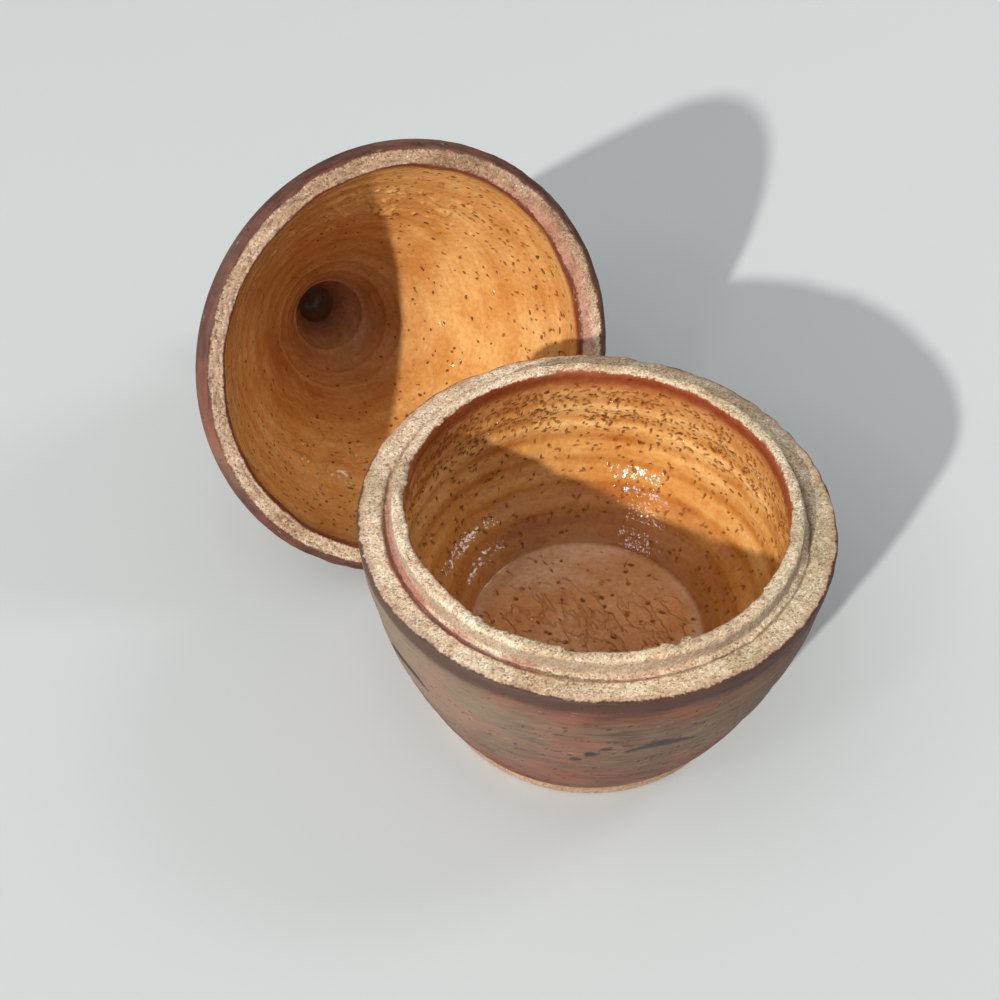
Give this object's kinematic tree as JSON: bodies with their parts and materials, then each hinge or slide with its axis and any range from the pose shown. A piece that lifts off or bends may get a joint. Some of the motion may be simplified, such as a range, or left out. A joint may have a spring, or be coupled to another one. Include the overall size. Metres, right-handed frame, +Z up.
{
  "type": "lidded jar",
  "caption": "Thrown stoneware jar with a conical body, a ledge and collar for its cap-shaped lid, and the lid taken off and laid beside it on its rim and hollow knob.",
  "frame": {"origin": "middle of the footprint of the jar and its laid-down lid, on the surface that they stand on", "axes": "+Z up along the jar's axis, +Y from the jar towards the lid, +X to the right seen from the jar's open side"},
  "size_m": [0.1544, 0.2614, 0.1274],
  "materials": {
    "jar_stoneware": "satin, ash-flashed outside, bare sandy ledge, glossy amber glaze inside",
    "lid_stoneware": "glossy amber glaze inside, bare sandy rim, ash-flashed outside"
  },
  "bodies": {
    "jar": {"jar_body": "jar_stoneware"},
    "lid": {"lid": "lid_stoneware"}
  },
  "joints": [
    {"name": "lid_lift", "type": "slide", "parent": "jar", "child": "lid", "axis": [0, 0.4374, 0.8993], "range_m": [0, 0.12]}
  ]
}
